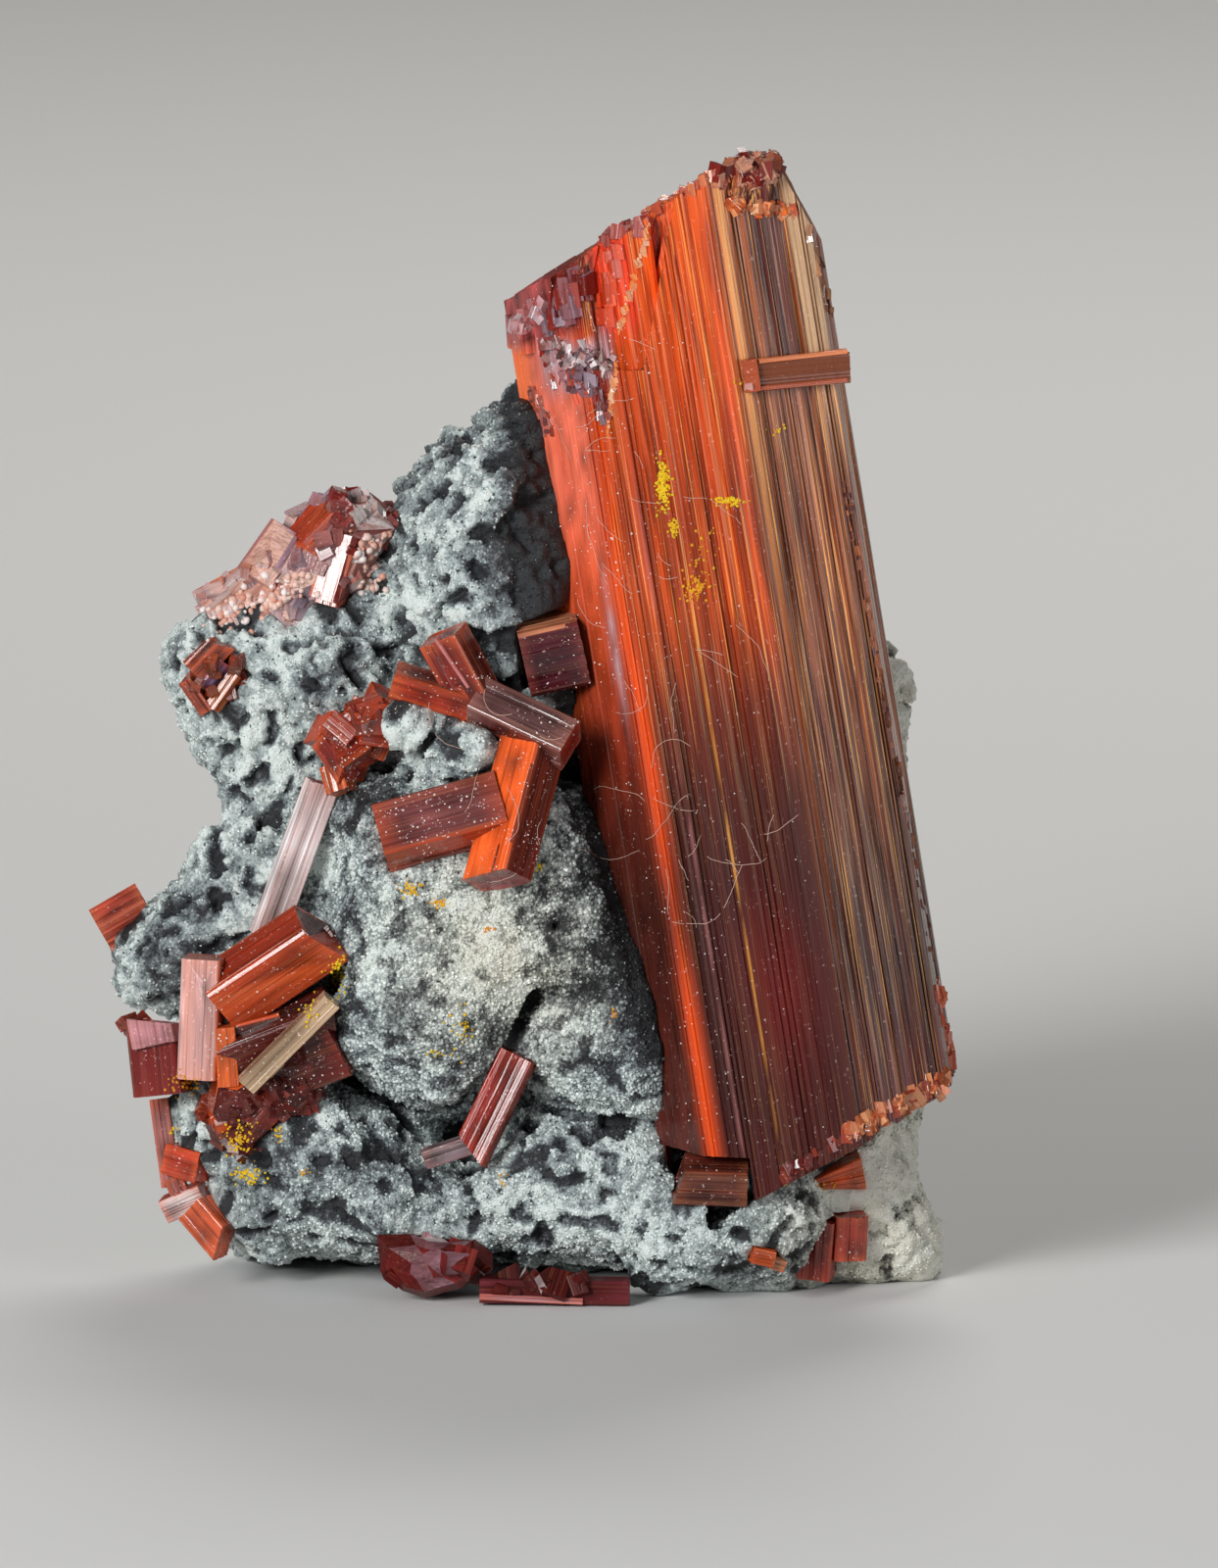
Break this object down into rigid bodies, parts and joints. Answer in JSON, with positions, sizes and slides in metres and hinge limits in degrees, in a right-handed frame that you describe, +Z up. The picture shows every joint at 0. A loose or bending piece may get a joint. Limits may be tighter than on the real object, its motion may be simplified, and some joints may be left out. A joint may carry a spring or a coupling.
{
  "type": "realgar crystal specimen on matrix",
  "caption": "Mineral specimen: a striated orange-red realgar prism leaning across a pale quartz-coated rock with smaller red crystals, standing on the rock's flat underside.",
  "frame": {"origin": "on the flat underside of the rock, below the middle of the specimen", "axes": "+Z up as it stands, +X to the right along the rock, -Y out of the display side that carries the main crystal"},
  "size_m": [0.0354, 0.0202, 0.0472],
  "materials": {
    "quartz_coated_rock": "sugary and matt, with fine sparkle",
    "orange_realgar": "resinous, translucent, striated along its length",
    "dark_red_realgar": "resinous, translucent, finely striated",
    "pink_red_realgar": "glassy, with pink reflecting faces"
  },
  "bodies": {
    "root": {"matrix": "quartz_coated_rock", "main_crystal": "orange_realgar", "block_crystal": "dark_red_realgar", "crossed_crystals": "dark_red_realgar", "rough_crystal": "dark_red_realgar", "long_blade": "pink_red_realgar", "corner_cluster": "dark_red_realgar", "left_foot_crystals": "pink_red_realgar", "tip_crystal": "pink_red_realgar", "hollow_crystal": "pink_red_realgar", "shoulder_crust": "pink_red_realgar", "crack_crystals": "dark_red_realgar", "underside_crystals": "pink_red_realgar", "foot_block": "dark_red_realgar", "wedge_crystal": "orange_realgar", "toe_crystal": "pink_red_realgar", "seed_crystals": "orange_realgar"}
  },
  "joints": []
}
